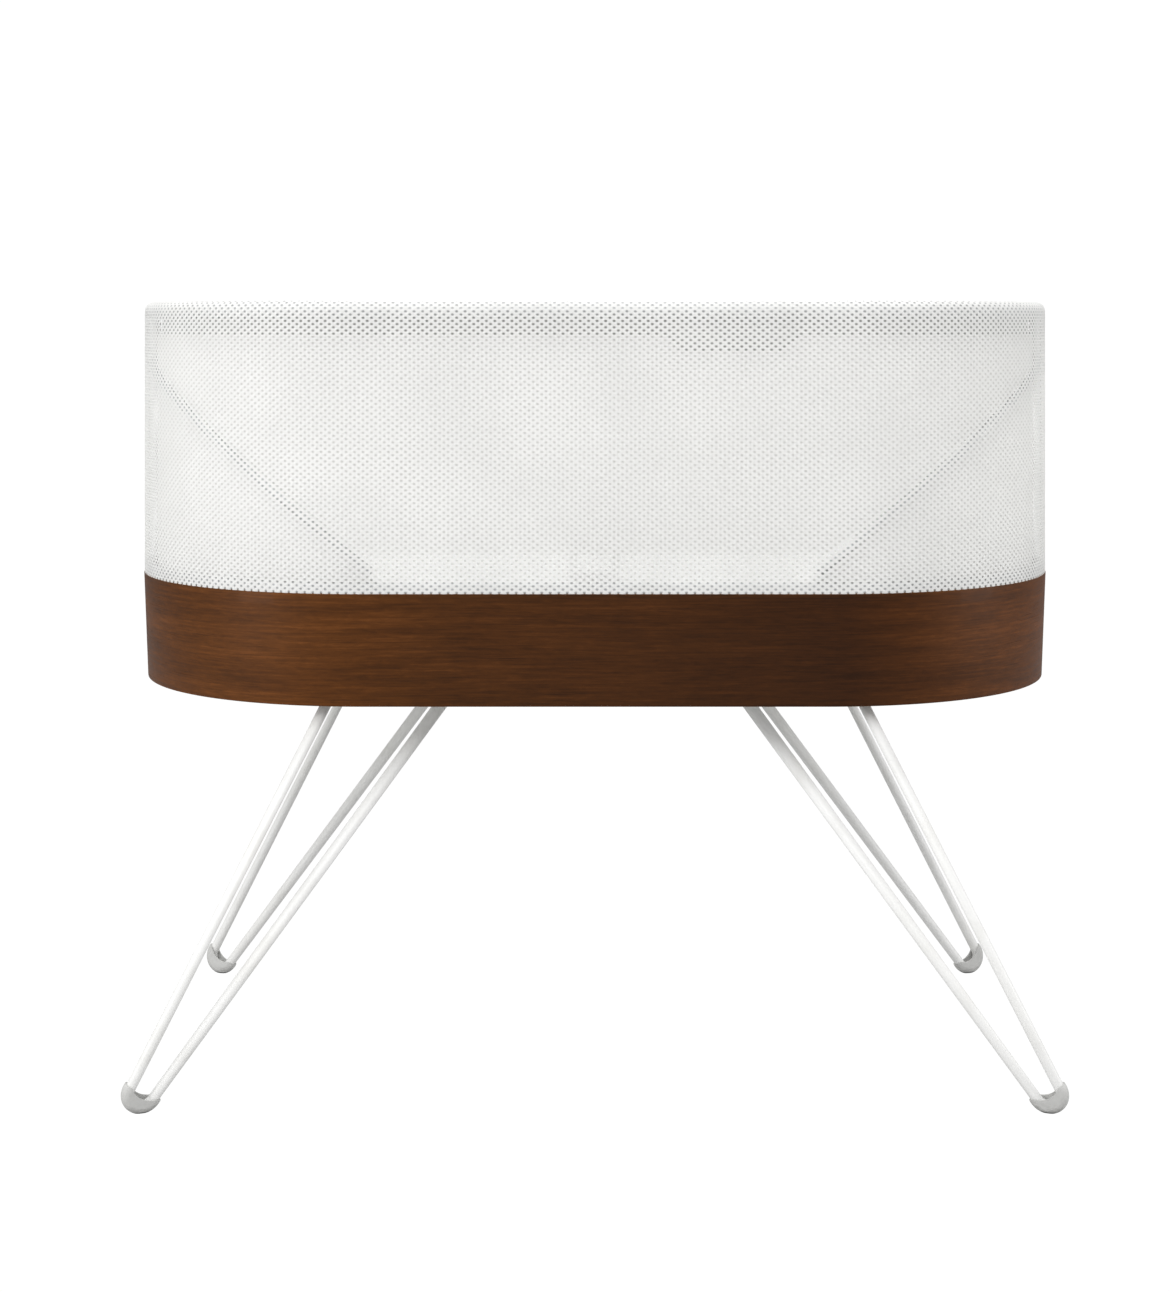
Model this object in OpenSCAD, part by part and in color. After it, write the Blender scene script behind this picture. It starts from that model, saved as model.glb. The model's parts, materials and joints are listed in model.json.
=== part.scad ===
// Motorised baby crib: an oval timber base on four hairpin legs, a stretched mesh wall held up
// by a rim tube and two slanting hoops, and a mattress platform that swings about a vertical
// pivot. Millimetres, +Z up, origin on the floor under the pivot, front towards -Y.

/* [Overall] */
// Length over the mesh wall
overall_l = 914; // [860:1:1100]
// Depth over the mesh wall
overall_d = 483; // [450:1:560]
// Height of the rim's top above the floor
overall_h = 751; // [680:1:900]

/* [Timber band] */
// Height of the band's lower edge above the floor
band_z = 376; // [320:1:420]
// Height of the band
band_h = 104.5; // [100:0.5:125]
// How far the band draws in from its top to its lower edge
band_taper = 4; // [1:0.5:8]
// Thickness of the bent plywood
band_t = 9; // [7:0.5:12]

/* [Wall] */
// Thickness of the mesh cloth
skin_t = 1.8; // [1:0.1:3]
// Diameter of the rim tube
rim_tube_d = 15; // [12:0.5:20]
// How far the mesh turns down inside the rim
hem_drop = 19; // [12:1:30]
// Thickness of the inner lining
liner_t = 1.2; // [0.8:0.1:2]
// Height of the lining's lower edge above the band
liner_lift = 35; // [28:1:60]
// Gap between the rim's underside and the lining
liner_top_gap = 13; // [6:1:30]
// Diameter of the slanting hoops
hoop_d = 8; // [6:0.5:9]
// Slope of the hoops from level, in degrees
hoop_slope = 38.6; // [30:0.2:40]
// Distance of each hoop's foot from the end of the straight run
hoop_foot_in = 20.5; // [12:0.5:60]
// Height of the rail that the mesh wraps
rail_h = 9.5; // [8:0.5:12]

/* [Legs] */
// Diameter of the leg rod at the foot
rod_d = 10; // [8:0.5:12]
// Diameter of the inner rod where it meets the base
rod_top_d = 12.4; // [10:0.2:13]
// Radius of the bend at the foot, to the rod's middle
bend_r = 12.6; // [12:0.2:18]
// How far the bend's centre stands past the straight run, along the length
foot_past = 203; // [170:0.5:225]
// How far the bend's centre stands inside the wall, across the depth
foot_in = 11; // [0:0.5:30]
// How far the outer rod's top is past the straight run
outer_top_past = 29.5; // [10:0.5:36]
// How far the outer rod's top is inside the wall
outer_top_in = 28.5; // [26:0.5:50]
// How far the inner rod's top is short of the end of the straight run
inner_top_short = 82.5; // [65:0.5:105]
// How far the inner rod's top is inside the wall
inner_top_in = 78.5; // [66:0.5:90]
// Wall of the foot cup around the rod
cup_wall = 1.9; // [1.5:0.1:4]
// Thickness of the sole
sole_t = 1.6; // [1:0.1:2.5]

/* [Base] */
// Thickness of the base board
board_t = 12; // [9:0.5:15]
// How far the board sits above the band's lower edge
board_rise = 12; // [10:0.5:16]
// Thickness of the leg plates
plate_t = 3; // [2:0.5:5]

/* [Platform] */
// Swing of the platform each way, in degrees
swing = 3; // [1:0.5:3.5]
// Thickness of the platform floor
deck_t = 6; // [4:0.5:8]
// Height of the lip round the platform
lip_h = 10; // [6:0.5:14]
// Thickness of the mattress
mattress_t = 27; // [22:0.5:30]
// Thickness of the fitted sheet
sheet_t = 1; // [0.8:0.1:1.5]

/* [Drive] */
// Radius of the wheel that the belt turns
wheel_r = 126; // [110:1:135]
// Radius of the motor pulley
pulley_r = 10; // [8:0.5:14]
// Distance from the pivot to the motor
motor_x = 218; // [205:1:240]
// Radius of the pivot pin
pivot_r = 10; // [8:0.5:12]
// Pitch radius of the turntable bearing
race_r = 108; // [100:1:112]
// Number of bearing balls
ball_count = 24; // [16:1:30]
// Radius of the bearing balls
ball_r = 3; // [2.5:0.1:3.5]

/* [Button] */
// Radius of the control button
button_r = 11; // [9:0.5:13]
// Travel of the control button
button_travel = 1.5; // [1:0.1:2]

/* [Hidden] */

$fn = 72;
eps = 0.01;
gap = 0.3;           // between parts that move past each other
fit = 0.05;          // between a piece and the hole that holds it
run = 0.05;          // radial clearance of a running pin
big = 2000;

// Every oval is a straight run with round ends, so a radius says the whole outline.
wall_r = overall_d / 2;
run_x = overall_l / 2 - wall_r;

band_top = band_z + band_h;
band_in = wall_r - band_t;
band_low_r = wall_r - band_taper;
board_z = band_z + board_rise;
board_r = band_in_at(board_z) - gap;
floor_z = board_z + board_t;

rim_r = rim_tube_d / 2;
rim_c = wall_r - skin_t - gap - rim_r;
rim_z = overall_h - skin_t - gap - rim_r;
hem_c = rim_c - rim_r - gap - skin_t;
hem_z = rim_z - hem_drop;

rail_z = band_top + 0.2;
rail_out = wall_r - skin_t - gap;
rail_in = band_in + 0.5;
hoop_r = rail_out - hoop_d / 2 - 2;
hoop_foot_x = run_x - hoop_foot_in;
hoop_start_z = rail_z + rail_h;
socket_r = hoop_d / 2 + 1.7;
socket_l = 14;
liner_out = hoop_r - hoop_d / 2 - gap;
liner_z = band_top + liner_lift;
liner_top = rim_z - rim_r - liner_top_gap;

cup_r = rod_d / 2 + cup_wall;
bend_c = [run_x + foot_past, wall_r - foot_in, bend_r + cup_r - sole_t * 0.8];
plate_z = board_z - plate_t;
outer_top = [run_x + outer_top_past, wall_r - outer_top_in, plate_z];
inner_top = [run_x - inner_top_short, wall_r - inner_top_in, plate_z];
plate_w = 21;
screw_r = 2.2;
screw_head_r = 4;
screw_head_h = 2;

// Moving pieces take their outline from the band, less the room that the swing needs.
swing_room = run_x * sin(swing) + 2.5;
deck_r = band_in - swing_room;
lip_t = 2.5;
mattress_r = deck_r - lip_t - sheet_t - 1;

pedestal_h = 34;
pedestal_z = floor_z + pedestal_h;
race_t = 5;
race_w = 20;
race_gap = 3;
ball_z = pedestal_z + race_t + race_gap / 2;
upper_race_z = pedestal_z + race_t + race_gap;
wheel_z = upper_race_z + race_t;
wheel_t = 8;
deck_z = wheel_z + wheel_t + 4;
mattress_z = deck_z + deck_t + 0.3;
hub_r = 24;
bush_r = pivot_r + 4;
hub_z = wheel_z - 2;
hub_top = wheel_z + wheel_t + 2;

rib_n = 3;
rib_pitch = 2.34;
rib_d = 1.6;
belt_t = 1.4;
belt_w = rib_n * rib_pitch;
belt_z = wheel_z + (wheel_t - belt_w) / 2;
// Angle from +X to where the belt leaves the wheel
wrap = 180 - acos((wheel_r - pulley_r) / motor_x);
span_l = sqrt(pow(motor_x, 2) - pow(wheel_r - pulley_r, 2));
shaft_r = 4;
motor_r = 29;
motor_h = wheel_z - 10 - floor_z;
motor_pos = [-motor_x, 0, floor_z];
idler_r = 11;
idler_bore_r = 3;
idler_share = 0.45;
strand_out = [cos(wrap), sin(wrap), 0];
strand_dir = [sin(wrap), -cos(wrap), 0];
idler_pos = motor_pos + strand_out * (pulley_r + gap + belt_t + gap + idler_r)
          + strand_dir * span_l * idler_share;

board_pos = [race_r + 142, 0, floor_z];
pcb = [100, 84, 1.6];
standoff_h = 8;
standoff_inset = 6;
speaker_x = overall_l / 2 - 85;
speaker_r = 38;
speaker_h = 24;
inlet_pos = [60, 120, board_z];
inlet_r = 9;
inlet_h = 11;
inlet_bore_r = 2.8;

button_z = band_z + band_h * 0.5;
ring_r = button_r + 3;
bezel_in = ring_r + fit;
bezel_out = bezel_in + 2.4;
bezel_flange = bezel_out + 3.5;
button_back_y = band_out_at(button_z + bezel_flange) + 0.05;
button_face_y = button_back_y + 2.4;
button_l = 13;
button_proud = 0.8;
switch_y = button_face_y + button_proud - button_l - button_travel - gap;
bezel_l = button_back_y - switch_y + 1;

lead_r = 1.6;
lead_path = [[-185, -24, 4], [-176, -36, 4], [-160, -60, 4], [-145, -95, 4], [-120, -135, 4],
             [-80, -158, 4], [-30, -168, 4], [30, -168, 4], [80, -158, 4], [130, -130, 4],
             [165, -98, 4], [180, -66, 4], [185, -40, 6], [190, -20, 10], [198, -9, 13], [205.5, -6, 13.6]];

timber = [0.36, 0.21, 0.12];
white = [0.93, 0.93, 0.92];
grey = [0.62, 0.62, 0.61];
steel = [0.75, 0.76, 0.78];

function unit(v) = v / norm(v);
function band_out_at(z) = band_low_r + band_taper * (z - band_z) / band_h;
function band_in_at(z) = band_out_at(z) - band_t;
function hoop_z(x) = hoop_start_z + tan(hoop_slope) * (x - hoop_foot_x);

// Sweeps a profile, drawn with x as its distance from the middle line, round the oval.
module oval_sweep() {
    for (side = [0, 180])
        rotate([0, 0, side]) {
            translate([run_x, 0, 0]) rotate([0, 0, -90]) rotate_extrude(angle = 180) children();
            translate([run_x, 0, 0]) rotate([90, 0, -90]) linear_extrude(2 * run_x)
                mirror([1, 0]) children();
        }
}

module oval_plate(r, z, h) {
    translate([0, 0, z]) linear_extrude(h) {
        for (x = [-run_x, run_x]) translate([x, 0]) circle(r);
        square([2 * run_x, 2 * r], center = true);
    }
}

module oval_ring(r_out, r_in, z, h) {
    difference() {
        oval_plate(r_out, z, h);
        oval_plate(r_in, z - 1, h + 2);
    }
}

module rod(a, b, r1, r2) {
    d = b - a;
    translate(a) rotate([0, acos(d.z / norm(d)), atan2(d.y, d.x)]) cylinder(h = norm(d), r1 = r1, r2 = r2);
}

module in_frame(o, ex, ez) {
    ey = cross(ez, ex);
    multmatrix([[ex.x, ey.x, ez.x, o.x], [ex.y, ey.y, ez.y, o.y], [ex.z, ey.z, ez.z, o.z],
                [0, 0, 0, 1]]) children();
}

// A round tube along a list of points, with a radius for each. The vector up is never in line
// with the path. Level ends are cut flat at the height of the path's end points.
module swept_tube(path, up, radii, sides, level_ends = false) {
    last = len(path) - 1;
    points = [for (i = [0:last])
        let (t = unit(path[min(i + 1, last)] - path[max(i - 1, 0)]), b = unit(cross(t, up)),
             c = cross(b, t), cut = level_ends && (i == 0 || i == last))
        for (k = [0:sides - 1])
            let (q = radii[i] * (cos(360 * k / sides) * b + sin(360 * k / sides) * c))
            path[i] + q - (cut ? t * q.z / t.z : [0, 0, 0])];
    walls = [for (i = [0:last - 1]) for (k = [0:sides - 1])
        let (n = (k + 1) % sides)
        [i * sides + k, i * sides + n, (i + 1) * sides + n, (i + 1) * sides + k]];
    ends = [[for (k = [sides - 1:-1:0]) k], [for (k = [0:sides - 1]) last * sides + k]];
    polyhedron(points = points, faces = concat(walls, ends), convexity = 4);
}

module screw(pos, shank, r = screw_r) {
    translate(pos) {
        cylinder(h = screw_head_h, r = screw_head_r);
        translate([0, 0, -shank]) cylinder(h = shank + eps, r = r);
    }
}

module four_sides() {
    for (mx = [0, 1], my = [0, 1]) mirror([mx, 0, 0]) mirror([0, my, 0]) children();
}

// ---- Base ----

module wood_band() {
    color(timber) difference() {
        oval_sweep() polygon([[band_low_r - band_t, band_z], [band_low_r, band_z],
                              [wall_r, band_top], [band_in, band_top]]);
        translate([0, wall_r - 2 * band_t, button_z]) rotate([-90, 0, 0])
            cylinder(h = 3 * band_t, r = bezel_out + fit);
    }
}

bracket_at = [75 - run_x, 60, run_x - 75];
bracket_w = 24;
bracket_t = 2;
bracket_arm = 26;

module base_board() {
    color(white) difference() {
        oval_plate(board_r, board_z, board_t);
        four_sides() for (p = leg_screw_points())
            translate([p.x, p.y, board_z - 1]) cylinder(h = board_t + 2, r = screw_r + fit);
        for (a = pedestal_angles) rotate([0, 0, a])
            translate([pedestal_bolt_r, 0, board_z - 1]) cylinder(h = board_t + 2, r = screw_r + fit);
        translate([0, 0, board_z - 1]) cylinder(h = board_t + 2, r = pivot_r + fit);
        translate([inlet_pos.x, inlet_pos.y, board_z - 1]) cylinder(h = board_t + 2, r = inlet_r * 0.5);
    }
}

// The brackets stand on the board and reach the band's inner face.
module band_brackets() {
    y_wall = band_in_at(floor_z) - 0.1;
    color(steel) for (side = [0, 180], x = bracket_at) rotate([0, 0, side])
        translate([x, y_wall, floor_z]) difference() {
            union() {
                translate([-bracket_w / 2, -bracket_arm, 0]) cube([bracket_w, bracket_arm, bracket_t]);
                translate([-bracket_w / 2, -bracket_t, 0]) cube([bracket_w, bracket_t, bracket_arm]);
            }
            translate([0, -bracket_arm / 2, -1]) cylinder(h = bracket_t + 2, r = screw_r + fit);
            translate([0, 1, bracket_arm * 0.62]) rotate([90, 0, 0])
                cylinder(h = bracket_t + 2, r = screw_r + fit);
        }
}

module bracket_screws() {
    y_wall = band_in_at(floor_z) - 0.1;
    color(steel) for (side = [0, 180], x = bracket_at) rotate([0, 0, side])
        translate([x, y_wall - bracket_t, floor_z + bracket_arm * 0.62])
            rotate([90, 0, 0]) screw([0, 0, 0], bracket_t);
}

// ---- Legs ----

leg_n = unit(cross(outer_top - bend_c, inner_top - bend_c));

// Where a line from p touches a circle of radius r round c, turned off the direction to p.
function touch(p, c, r, turn) =
    let (u = unit(p - c), a = acos(r / norm(p - c)))
    unit(cos(a) * u + turn * sin(a) * cross(leg_n, u));

outer_touch = touch(outer_top, bend_c, bend_r, -1);
inner_touch = touch(inner_top, bend_c, bend_r, 1);
bend_down = unit(outer_touch + inner_touch);

// Points on an arc of radius r round c, from direction a to direction b.
function arc(c, r, a, b, steps) =
    let (angle = acos(a * b), side = unit(b - a * cos(angle)))
    [for (i = [0:steps]) let (t = angle * i / steps) c + r * (cos(t) * a + sin(t) * side)];

// Down the outer rod, round the bend and up the inner rod.
leg_path = concat([outer_top], arc(bend_c, bend_r, outer_touch, inner_touch, 12), [inner_top]);
leg_sides = 20;
leg_radii = [for (i = [0:len(leg_path) - 1]) i == len(leg_path) - 1 ? rod_top_d / 2 : rod_d / 2];

module leg(mx, my) {
    color(white) mirror([mx, 0, 0]) mirror([0, my, 0])
        swept_tube(leg_path, leg_n, leg_radii, leg_sides, true);
}

module leg_front_left() { leg(1, 1); }
module leg_front_right() { leg(0, 1); }
module leg_rear_left() { leg(1, 0); }
module leg_rear_right() { leg(0, 0); }

// A disc with a full round rim, cut to a crescent that cradles the bend.
module cup_blank() {
    in_frame(bend_c, bend_down, leg_n) difference() {
        rotate_extrude() {
            translate([0, -cup_r]) square([bend_r, 2 * cup_r]);
            intersection() {
                translate([bend_r, 0]) circle(cup_r);
                translate([bend_r - eps, -cup_r]) square([cup_r + 1, 2 * cup_r]);
            }
        }
        translate([-bend_r * 1.32, 0, -big / 2]) cylinder(h = big, r = bend_r * 1.58);
        translate([-big - cup_wall, -big / 2, -big / 2]) cube(big);
    }
}

// The hollow that the bend of the rod lies in, open between the cup's two cheeks.
module rod_channel() {
    slot = rod_d + gap;
    in_frame(bend_c, bend_down, leg_n) rotate_extrude() {
        translate([bend_r, 0]) circle(rod_d / 2 + gap);
        translate([0, -slot / 2]) square([bend_r, slot]);
    }
}

module foot(mx, my) {
    color(grey) mirror([mx, 0, 0]) mirror([0, my, 0]) difference() {
        cup_blank();
        rod_channel();
        translate([-big / 2, -big / 2, sole_t - big]) cube(big);
    }
}

module foot_front_left() { foot(1, 1); }
module foot_front_right() { foot(0, 1); }
module foot_rear_left() { foot(1, 0); }
module foot_rear_right() { foot(0, 0); }

module foot_soles() {
    color([0.35, 0.35, 0.35]) four_sides() difference() {
        intersection() {
            cup_blank();
            translate([bend_c.x - 60, bend_c.y - 60, 0]) cube([120, 120, sole_t]);
        }
        rod_channel();
    }
}

plate_dir = unit([outer_top.x - inner_top.x, outer_top.y - inner_top.y, 0]);
plate_l = norm([outer_top.x - inner_top.x, outer_top.y - inner_top.y]);
plate_in = [plate_dir.y, -plate_dir.x, 0];
tab_w = 50;
tab_d = 34;
function leg_screw_points() = [
    for (s = [0.28, 0.72]) inner_top + plate_dir * plate_l * s,
    for (s = [-0.3, 0.3]) inner_top + plate_dir * (plate_l * 0.5 + tab_w * s) + plate_in * (tab_d - 10)];

module leg_plates() {
    color(white) four_sides() difference() {
        in_frame(inner_top, plate_dir, [0, 0, 1]) linear_extrude(plate_t) {
            circle(plate_w / 2);
            translate([plate_l, 0]) circle(plate_w / 2);
            translate([0, -plate_w / 2]) square([plate_l, plate_w]);
            translate([(plate_l - tab_w) / 2, -tab_d]) square([tab_w, tab_d]);
        }
        for (p = leg_screw_points()) translate([p.x, p.y, plate_z - 1])
            cylinder(h = plate_t + 2, r = screw_r + fit);
    }
}

module leg_screws() {
    color(steel) four_sides() for (p = leg_screw_points())
        translate([p.x, p.y, plate_z]) mirror([0, 0, 1]) screw([0, 0, 0], plate_t + board_t - 2);
}

// ---- Wall ----

module wall_rail() {
    color(white) oval_ring(rail_out, rail_in, rail_z, rail_h);
}

module rim_tube() {
    color(steel) oval_sweep() translate([rim_c, rim_z]) circle(rim_r);
}

// The hoop lies in one sloping plane: straight to the round end, then round it.
function hoop_path() =
    let (low_x = hoop_foot_x + 1.5, turns = 36)
    concat([[low_x, -hoop_r, hoop_z(low_x)]],
           [for (i = [0:turns]) let (a = 180 * i / turns, x = run_x + hoop_r * sin(a))
               [x, -hoop_r * cos(a), hoop_z(x)]],
           [[low_x, hoop_r, hoop_z(low_x)]]);

module hoop() {
    path = hoop_path();
    color(white) swept_tube(path, [-sin(hoop_slope), 0, cos(hoop_slope)],
                            [for (p = path) hoop_d / 2], 12, true);
}

module hoop_right() { hoop(); }
module hoop_left() { mirror([1, 0, 0]) hoop(); }

// Each socket is a short sleeve along the hoop's slope, on a block that sits on the rail.
module hoop_sockets() {
    dir = [cos(hoop_slope), 0, sin(hoop_slope)];
    start = [hoop_foot_x, hoop_r, hoop_start_z];
    color(white) four_sides() difference() {
        union() {
            rod(start - 4 * dir, start + socket_l * dir, socket_r, socket_r);
            translate([start.x - 12, hoop_r - 3.5, hoop_start_z]) cube([20, 7, 4]);
        }
        rod(start - 12 * dir, start + (socket_l + 5) * dir, hoop_d / 2 + 0.2, hoop_d / 2 + 0.2);
        translate([-big / 2, -big / 2, hoop_start_z - big]) cube(big);
    }
}

// A post at each end carries the rim on the top of the hoop, with a saddle cut for each tube.
module rim_posts() {
    x = run_x + hoop_r;
    z = hoop_z(x);
    color(white) for (side = [0, 180]) rotate([0, 0, side]) difference() {
        union() {
            translate([x - 0.5, 0, z - 1]) cylinder(h = rim_z - z, r = 4.2);
            translate([x - 0.5, 0, z - 1]) cylinder(h = 9, r = 5.8);
            translate([x - 0.5, 0, rim_z - rim_r - 5]) cylinder(h = 6, r = 5.8);
        }
        translate([x, big / 2, z]) rotate([90, 0, 0]) cylinder(h = big, r = hoop_d / 2 + 0.2);
        translate([run_x + rim_c, big / 2, rim_z]) rotate([90, 0, 0]) cylinder(h = big, r = rim_r + 0.15);
        translate([run_x + liner_out + gap - big, -big / 2, -eps]) cube(big);
    }
}

// The mesh stands on the band, runs over the rim tube and turns down inside it.
module mesh_wall() {
    color(white) oval_sweep() {
        translate([wall_r - skin_t, rail_z]) square([skin_t, rim_z - rail_z]);
        translate([hem_c, hem_z]) square([skin_t, rim_z - hem_z]);
        intersection() {
            translate([rim_c, rim_z]) difference() {
                circle(rim_r + gap + skin_t);
                circle(rim_r + gap);
            }
            translate([hem_c - 1, rim_z]) square([2 * rim_r + 10, rim_r + 10]);
        }
    }
}

module inner_liner() {
    color(white) oval_ring(liner_out, liner_out - liner_t, liner_z, liner_top - liner_z);
}

// ---- Turntable ----

pedestal_bolt_r = race_r + 20;
pedestal_angles = [0:60:300];

module bearing_pedestal() {
    color(steel) difference() {
        rotate_extrude() {
            translate([race_r - 8, floor_z]) square([36, 4]);
            translate([race_r - 5, floor_z]) square([10, pedestal_h]);
            translate([race_r - race_w / 2, pedestal_z - 4]) square([race_w, 4]);
        }
        for (a = pedestal_angles) rotate([0, 0, a])
            translate([pedestal_bolt_r, 0, floor_z - 1]) cylinder(h = 6, r = screw_r + fit);
    }
}

module pedestal_screws() {
    color(steel) for (a = pedestal_angles) rotate([0, 0, a])
        screw([pedestal_bolt_r, 0, floor_z + 4], 4 + board_t - 2);
}

module race(z) {
    color(steel) rotate_extrude() difference() {
        translate([race_r - race_w / 2, z]) square([race_w, race_t]);
        translate([race_r, ball_z]) circle(ball_r + gap);
    }
}

module lower_race() { race(pedestal_z); }
module upper_race() { race(upper_race_z); }

module bearing_balls() {
    color(steel) for (i = [0:ball_count - 1]) rotate([0, 0, 360 * i / ball_count])
        translate([race_r, 0, ball_z]) sphere(ball_r);
}

module ball_cage() {
    cage_t = race_gap - 1.6;
    color([0.2, 0.2, 0.22]) difference() {
        translate([0, 0, ball_z - cage_t / 2]) difference() {
            cylinder(h = cage_t, r = race_r + 6);
            translate([0, 0, -1]) cylinder(h = cage_t + 2, r = race_r - 6);
        }
        for (i = [0:ball_count - 1]) rotate([0, 0, 360 * i / ball_count])
            translate([race_r, 0, ball_z - 5]) cylinder(h = 10, r = ball_r + 0.2);
    }
}

clip_z = hub_top + 0.9;
clip_t = 1.2;
groove_r = pivot_r - 1;
pin_top = clip_z + clip_t + 2;

module pivot_pin() {
    color(steel) rotate_extrude() {
        translate([0, board_z + 2]) square([pivot_r, floor_z - board_z - 2]);
        translate([0, floor_z]) square([pivot_r * 2, 5]);
        translate([0, floor_z]) square([pivot_r, clip_z - 0.1 - floor_z]);
        translate([0, clip_z - 0.1]) square([groove_r, clip_t + 0.2]);
        translate([0, clip_z + clip_t + 0.1]) square([pivot_r, pin_top - clip_z - clip_t - 0.1]);
    }
}

module flat_ring(r_in, r_out, z, h) {
    translate([0, 0, z]) difference() {
        cylinder(h = h, r = r_out);
        translate([0, 0, -1]) cylinder(h = h + 2, r = r_in);
    }
}

module pivot_washer() {
    color(steel) flat_ring(pivot_r + 0.1, pivot_r + 7, hub_top + 0.2, 0.6);
}

module pivot_clip() {
    color([0.2, 0.2, 0.22]) difference() {
        flat_ring(groove_r + fit, pivot_r + 3.5, clip_z, clip_t);
        translate([0, -2.5, clip_z - 1]) cube([pivot_r + 5, 5, clip_t + 2]);
    }
}

// ---- Belt drive ----

// The pulley face at radius r, with a square groove for each rib of the belt.
module wheel_rim(r, face) {
    difference() {
        translate([r - face, wheel_z]) square([face, wheel_t]);
        for (i = [0:rib_n - 1])
            translate([r - rib_d, belt_z + (i + 0.15) * rib_pitch]) square([rib_d + 1, 0.7 * rib_pitch]);
    }
}

// The belt's line at a distance off from the pulleys: round the wheel, then round the motor pulley.
function belt_line(off) = concat(
    [for (i = [0:64]) let (a = wrap * (i / 32 - 1))
        (wheel_r + off) * [cos(a), sin(a)]],
    [for (i = [0:16]) let (a = wrap + (360 - 2 * wrap) * i / 16)
        [-motor_x, 0] + (pulley_r + off) * [cos(a), sin(a)]]);

module belt_layer(off_in, z, h) {
    translate([0, 0, z]) linear_extrude(h) difference() {
        polygon(belt_line(gap + belt_t));
        polygon(belt_line(off_in));
    }
}

module drive_belt() {
    color([0.12, 0.12, 0.13]) {
        belt_layer(gap, belt_z, belt_w);
        for (i = [0:rib_n - 1])
            belt_layer(gap - rib_d + 0.3, belt_z + (i + 0.3) * rib_pitch, 0.4 * rib_pitch);
    }
}

module drive_wheel() {
    color([0.30, 0.31, 0.33]) difference() {
        union() {
            rotate_extrude() wheel_rim(wheel_r, wheel_r - race_r + race_w / 2);
            rotate_extrude() translate([race_r - 8, wheel_z]) square([16, deck_z - wheel_z - 0.05]);
            flat_ring(bush_r + fit, hub_r, hub_z, hub_top - hub_z);
            for (a = [0:60:300]) rotate([0, 0, a])
                translate([hub_r - 2, -7, wheel_z]) cube([race_r - race_w / 2 - hub_r + 4, 14, 5]);
        }
        for (a = deck_screw_angles) rotate([0, 0, a])
            translate([race_r, 0, wheel_z + 2]) cylinder(h = wheel_t + 5, r = screw_r + fit);
    }
}

module wheel_bush() {
    color([0.72, 0.55, 0.25]) flat_ring(pivot_r + run, bush_r, hub_z, hub_top - hub_z);
}

module motor_pulley() {
    color(steel) difference() {
        rotate_extrude() {
            wheel_rim(pulley_r, pulley_r);
            translate([0, wheel_z - 1.2]) square([pulley_r + 3, 1.2 + eps]);
            translate([0, wheel_z + wheel_t - eps]) square([pulley_r + 3, 1.2]);
            translate([0, wheel_z - 5]) square([pulley_r - 2.5, 5]);
        }
        translate([0, 0, wheel_z - 10]) cylinder(h = 30, r = shaft_r + 0.02);
    }
}

module motor_shaft() {
    color(steel) translate(motor_pos + [0, 0, 8])
        cylinder(h = wheel_z + wheel_t + 3 - floor_z - 8, r = shaft_r);
}

motor_ear = 26;
module drive_motor() {
    color([0.25, 0.26, 0.28]) translate(motor_pos) difference() {
        union() {
            translate([-motor_ear - 6, -motor_ear - 6, 0]) cube([2 * motor_ear + 12, 2 * motor_ear + 12, 4]);
            cylinder(h = motor_h - 3, r = motor_r);
            cylinder(h = motor_h, r = motor_r - 6);
            for (a = [0:30:330]) rotate([0, 0, a]) translate([motor_r - 1, -1, 6]) cube([2.5, 2, motor_h - 14]);
        }
        translate([0, 0, 7]) cylinder(h = motor_h, r = shaft_r + run);
        for (x = [-1, 1], y = [-1, 1]) translate([x * motor_ear, y * motor_ear, -1])
            cylinder(h = 6, r = screw_r + fit);
    }
}

module motor_screws() {
    color(steel) for (x = [-1, 1], y = [-1, 1])
        screw(motor_pos + [x * motor_ear, y * motor_ear, 4], 4);
}

idler_z = wheel_z - 1;
idler_h = wheel_t + 2;
module idler_bracket() {
    color(steel) difference() {
        union() {
            translate([idler_pos.x - 16, idler_pos.y - 9, floor_z]) cube([32, 24, 3]);
            translate([idler_pos.x, idler_pos.y, floor_z]) cylinder(h = idler_z - 1 - floor_z, r = 7);
        }
        translate([idler_pos.x, idler_pos.y, floor_z + 8]) cylinder(h = 80, r = idler_bore_r + 0.02);
    }
}

module idler_bolt() {
    color(steel) translate([idler_pos.x, idler_pos.y, 0]) {
        translate([0, 0, idler_z - 14]) cylinder(h = idler_h + 14.5, r = idler_bore_r);
        translate([0, 0, idler_z + idler_h + 0.4]) cylinder(h = 1.5, r = 5);
    }
}

module idler_roller() {
    color([0.85, 0.85, 0.82]) translate([idler_pos.x, idler_pos.y, 0])
        flat_ring(idler_bore_r + run, idler_r, idler_z, idler_h);
}

// ---- Platform ----

deck_screw_angles = [30:60:330];
// Cross ribs, clear of the motor pulley on the left
deck_rib_x = [-330, -motor_x - 50, 200, 330];
module platform_deck() {
    color(white) difference() {
        union() {
            oval_plate(deck_r, deck_z, deck_t);
            oval_ring(deck_r, deck_r - lip_t, deck_z, deck_t + lip_h);
            for (y = [-1, 1]) translate([-run_x - 50, y * (wheel_r + 20) - 2, deck_z - 8]) cube([2 * run_x + 100, 4, 8]);
            for (x = deck_rib_x) translate([x - 2, -115, deck_z - 8]) cube([4, 230, 8]);
        }
        translate([0, 0, deck_z - 1]) cylinder(h = deck_t + 2, r = hub_r + 6);
        for (a = deck_screw_angles) rotate([0, 0, a])
            translate([race_r, 0, deck_z - 1]) cylinder(h = deck_t + 2, r = screw_r + fit);
        for (a = deck_screw_angles) rotate([0, 0, a])
            translate([race_r, 0, deck_z + deck_t - 2.4]) cylinder(h = 5, r = screw_head_r + 0.2);
    }
}

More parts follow.
